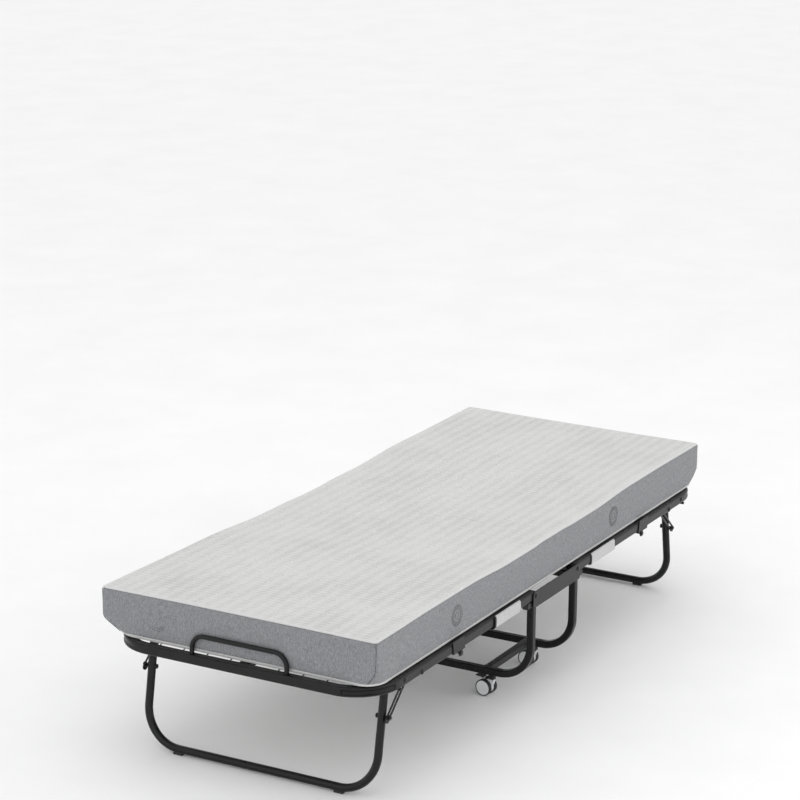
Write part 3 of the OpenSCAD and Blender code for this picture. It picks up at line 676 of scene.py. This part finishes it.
def build_strap(name, end, side, far, black_end):
    profile = strap_profile(far)
    columns = spaced(STRAP_START, STRAP_END, 36)
    points, faces, kinds = [], [], []
    for i, x in enumerate(columns):
        for j, p in enumerate(profile):
            before = profile[max(j - 1, 0)]
            after = profile[min(j + 1, len(profile) - 1)]
            along = (after - before).normalized()
            out = Vector((0, along.z, -along.y)) * -far
            ripple = noise.noise(Vector((x * 38.0, p.y * 30.0, p.z * 30.0 + 7 * far)))
            edge = smoothstep(0.0, 0.012, min(x - STRAP_START, STRAP_END - x))
            lift = 0.0009 * ripple * edge
            drift = 0.0022 * noise.noise(Vector((p.z * 30.0, p.y * 14.0, side * 5.0 + far)))
            spread = drift * (1 - edge) * (0.5 if 0 < i < len(columns) - 1 else 1.0)
            points.append(Vector((side * (x + spread * 0.5), p.y + out.y * lift, p.z + out.z * lift)))
    rows = len(profile)
    for i in range(len(columns) - 1):
        for j in range(rows - 1):
            quad = (i * rows + j, i * rows + j + 1, (i + 1) * rows + j + 1, (i + 1) * rows + j)
            faces.append(quad if side * far < 0 else quad[::-1])
            # On the near foot strap, the faces from this point to the foot end are black.
            kinds.append(1 if black_end and columns[i] >= STRAP_BLACK_FROM else 0)
    piece = new_piece(name, points, faces, [STRAP_CLOTH, STRAP_END_BLACK], kinds)
    solid = piece.modifiers.new("cloth_thickness", "SOLIDIFY")
    solid.thickness = STRAP_THICK
    solid.offset = 0.0
    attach(piece, f"{end}_deck")
    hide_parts(f"{end}_straps")


def build_straps():
    for end, side in (("foot", -1), ("head", 1)):
        for sidename, far in (("near", -1), ("far", 1)):
            black_ended = end == "foot" and far < 0
            build_strap(f"{end}_{sidename}_strap", end, side, far, black_ended)


# ---------- finishes of the CAD nodes ----------

NODE_FINISHES = (
    ("_wheels", TYRE),
    ("_caster", WHITE_BODY),
    ("brake_lever", BLACK_PLASTIC),
    ("_knobs", BLACK_PLASTIC),
    ("_pads", BLACK_PLASTIC),
    ("_plugs", BLACK_PLASTIC),
    ("_bolts", BLACK_OXIDE),
    ("_braces", BLACK_OXIDE),
    ("lock_hook", HOOK_BLACK),
)
HUB_REACH = 0.0206
STEM_START = 0.0475


def set_finish(piece, made):
    piece.data.materials.clear()
    piece.data.materials.append(made)


def split_finish(piece, made, is_second):
    """Gives the faces that is_second picks a second finish."""
    piece.data.materials.append(made)
    for face in piece.data.polygons:
        face.material_index = 1 if is_second(face) else 0


def finish_wheels(name, piece):
    spin = next(j for j in frame["joints"] if j["name"] == name.replace("_wheels", "_wheel_spin"))
    axle = Vector(spin["pos_m"])
    direction = Vector(spin["axis"]).normalized()

    def from_axle(point):
        arm = point - axle
        return (arm - direction * arm.dot(direction)).length

    def is_hub(face):
        return max(from_axle(piece.data.vertices[v].co) for v in face.vertices) < HUB_REACH

    split_finish(piece, WHITE_HUB, is_hub)


def finish_cad_nodes():
    for name, piece in frame["nodes"].items():
        made = next((m for key, m in NODE_FINISHES if key in name), BLACK_COAT)
        set_finish(piece, made)
        if name.endswith("_wheels"):
            finish_wheels(name, piece)
        if name.endswith("_caster"):
            split_finish(piece, BLACK_OXIDE, lambda face: face.center.z > STEM_START)


# ---------- stage, light and camera ----------


def build_stage():
    pale = material("pale_floor", 0.9, specular=0.1)
    grain = noise_texture(pale, stretched_coordinates(pale, (1, 1, 1)), 3.0, 3.0)
    set_colour(pale, colour_between(pale, grain, (0.90, 0.90, 0.90), (0.93, 0.93, 0.93)))
    corners = [(x * FLOOR_REACH, y * FLOOR_REACH, 0) for x, y in ((-1, -1), (1, -1), (1, 1), (-1, 1))]
    floor = new_piece("floor", corners, [(0, 1, 2, 3)], [pale])
    world = bpy.data.worlds.new("soft_studio")
    bpy.context.scene.world = world
    world.use_nodes = True
    background = world.node_tree.nodes["Background"]
    background.inputs["Color"].default_value = (1.0, 1.0, 1.0, 1.0)
    background.inputs["Strength"].default_value = 1.0
    bpy.context.scene.view_settings.view_transform = "Standard"


def area_light(name, place, target, size, power):
    data = bpy.data.lights.new(name, "AREA")
    data.shape = "RECTANGLE"
    data.size, data.size_y = size
    data.energy = power
    light = bpy.data.objects.new(name, data)
    light.location = place
    light.rotation_mode = "QUATERNION"
    light.rotation_quaternion = (Vector(target) - Vector(place)).to_track_quat("-Z", "Y")
    bpy.context.scene.collection.objects.link(light)


def build_lights():
    for name, place, size, power in LIGHTS:
        area_light(name, place, LIGHT_TARGET, size, power)


def build_camera():
    yaw, pitch, roll = (math.radians(turn) for turn in CAMERA_TURNS)
    right = Vector((math.cos(yaw), math.sin(yaw), 0))
    back = Vector((math.sin(yaw) * math.cos(pitch), -math.cos(yaw) * math.cos(pitch), math.sin(pitch)))
    up = back.cross(right)
    turned_right = math.cos(roll) * right + math.sin(roll) * up
    turned_up = -math.sin(roll) * right + math.cos(roll) * up
    data = bpy.data.cameras.new("camera")
    data.sensor_width = 36.0
    data.lens = CAMERA_LENS
    data.shift_x, data.shift_y = CAMERA_SHIFT
    data.clip_end = CAMERA_FAR
    camera = bpy.data.objects.new("camera", data)
    rotation = Matrix((turned_right, turned_up, back)).transposed().to_4x4()
    camera.matrix_world = Matrix.Translation(CAMERA_PLACE) @ rotation
    bpy.context.scene.collection.objects.link(camera)
    bpy.context.scene.camera = camera


build_camera()
build_stage()
build_lights()
finish_cad_nodes()
build_mattress()
build_wire_meshes()
build_straps()
